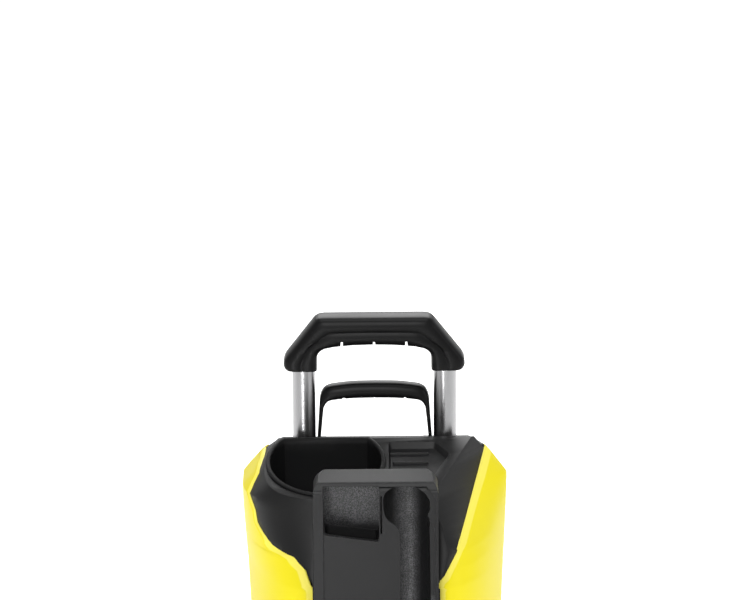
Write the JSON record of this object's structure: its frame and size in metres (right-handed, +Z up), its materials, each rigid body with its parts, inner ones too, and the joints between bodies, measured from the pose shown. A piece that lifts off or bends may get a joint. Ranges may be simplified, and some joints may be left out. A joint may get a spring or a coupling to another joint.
{
  "type": "pressure washer",
  "caption": "Upright electric pressure washer on two wheels, with a telescopic pull handle, a carrying handle, a bottle cup and a front accessory holder.",
  "frame": {"origin": "on the floor, under the middle of the overall box", "axes": "+Z up, -Y to the front (accessory holder, switch and outlet), +X to the machine's right seen from the front"},
  "size_m": [0.305, 0.38, 0.5825],
  "materials": {
    "yellow_plastic": "satin moulded",
    "black_plastic": "fine moulded grain",
    "soft_grip": "matt",
    "tube_aluminium": "satin anodised",
    "steel": "turned",
    "brass": "machined",
    "copper_windings": "lacquered windings on a steel core",
    "pale_plastic": "smooth"
  },
  "bodies": {
    "casing": {"accessory_holder": "black_plastic", "base_chassis": "black_plastic", "bottle_cup": "black_plastic", "cable_gland": "soft_grip", "capacitor": "pale_plastic", "carry_handle": "black_plastic", "cord_hook_lower": "black_plastic", "cylinder_block": "brass", "deck_cover": "black_plastic", "detergent_hose": "soft_grip", "detergent_socket": "pale_plastic", "gear_housing": "tube_aluminium", "hose_hook": "black_plastic", "inlet_filter": "steel", "inlet_pipe": "soft_grip", "left_axle": "steel", "left_foot": "soft_grip", "left_guide_bush": "pale_plastic", "left_guide_tube": "black_plastic", "left_side_shell": "yellow_plastic", "lower_bearing": "steel", "lower_front_cover": "black_plastic", "motor_housing": "black_plastic", "outlet_pipe": "steel", "pressure_outlet": "black_plastic", "rear_cover": "black_plastic", "right_axle": "steel", "right_foot": "soft_grip", "right_guide_bush": "pale_plastic", "right_guide_tube": "black_plastic", "right_side_shell": "yellow_plastic", "stator": "copper_windings", "switch_block": "black_plastic", "unloader_valve": "steel", "upper_bearing": "steel", "valve_head": "brass", "water_inlet": "black_plastic"},
    "transport_handle": {"handle_grip": "black_plastic", "grip_insert": "soft_grip", "left_tube": "tube_aluminium", "right_tube": "tube_aluminium", "left_tube_foot": "black_plastic", "right_tube_foot": "black_plastic"},
    "left_wheel_set": {"left_wheel": "black_plastic", "left_hub_cap": "yellow_plastic"},
    "right_wheel_set": {"right_wheel": "black_plastic", "right_hub_cap": "yellow_plastic"},
    "motor_shaft": {"rotor": "steel", "fan": "pale_plastic", "swash_plate": "steel"},
    "front_piston": {"piston_front": "steel"},
    "left_piston": {"piston_left": "steel"},
    "right_piston": {"piston_right": "steel"},
    "power_switch": {"switch_knob": "yellow_plastic"},
    "hose_lock_button": {"outlet_lock": "yellow_plastic"},
    "cord_hook": {"cord_hook_upper": "black_plastic"}
  },
  "joints": [
    {"name": "handle_extend", "type": "slide", "parent": "casing", "child": "transport_handle", "axis": [0, 0, 1], "range_m": [0, 0.345]},
    {"name": "left_wheel_roll", "type": "hinge", "parent": "casing", "child": "left_wheel_set", "pos_m": [-0.1375, 0.085, 0.085], "axis": [1, 0, 0], "continuous": true},
    {"name": "right_wheel_roll", "type": "hinge", "parent": "casing", "child": "right_wheel_set", "pos_m": [0.1375, 0.085, 0.085], "axis": [1, 0, 0], "continuous": true},
    {"name": "motor_spin", "type": "hinge", "parent": "casing", "child": "motor_shaft", "pos_m": [0, 0.005, 0.2], "axis": [0, 0, 1], "continuous": true},
    {"name": "front_piston_stroke", "type": "slide", "parent": "casing", "child": "front_piston", "axis": [0, 0, -1], "range_m": [0, 0.007], "stiffness_N_per_m": 800, "springref_m": -0.002},
    {"name": "left_piston_stroke", "type": "slide", "parent": "casing", "child": "left_piston", "axis": [0, 0, -1], "range_m": [0, 0.007], "stiffness_N_per_m": 800, "springref_m": -0.002},
    {"name": "right_piston_stroke", "type": "slide", "parent": "casing", "child": "right_piston", "axis": [0, 0, -1], "range_m": [0, 0.007], "stiffness_N_per_m": 800, "springref_m": -0.002},
    {"name": "power_switch_turn", "type": "hinge", "parent": "casing", "child": "power_switch", "pos_m": [0.031, -0.1176, 0.186], "axis": [0, 0.9285, -0.3714], "range_deg": [0, 90]},
    {"name": "hose_lock_press", "type": "slide", "parent": "casing", "child": "hose_lock_button", "axis": [0, -0.3714, -0.9285], "range_m": [0, 0.003], "stiffness_N_per_m": 500},
    {"name": "cord_hook_swivel", "type": "hinge", "parent": "casing", "child": "cord_hook", "pos_m": [0, 0.1154, 0.268], "axis": [0, 1, 0], "range_deg": [0, 180]}
  ]
}
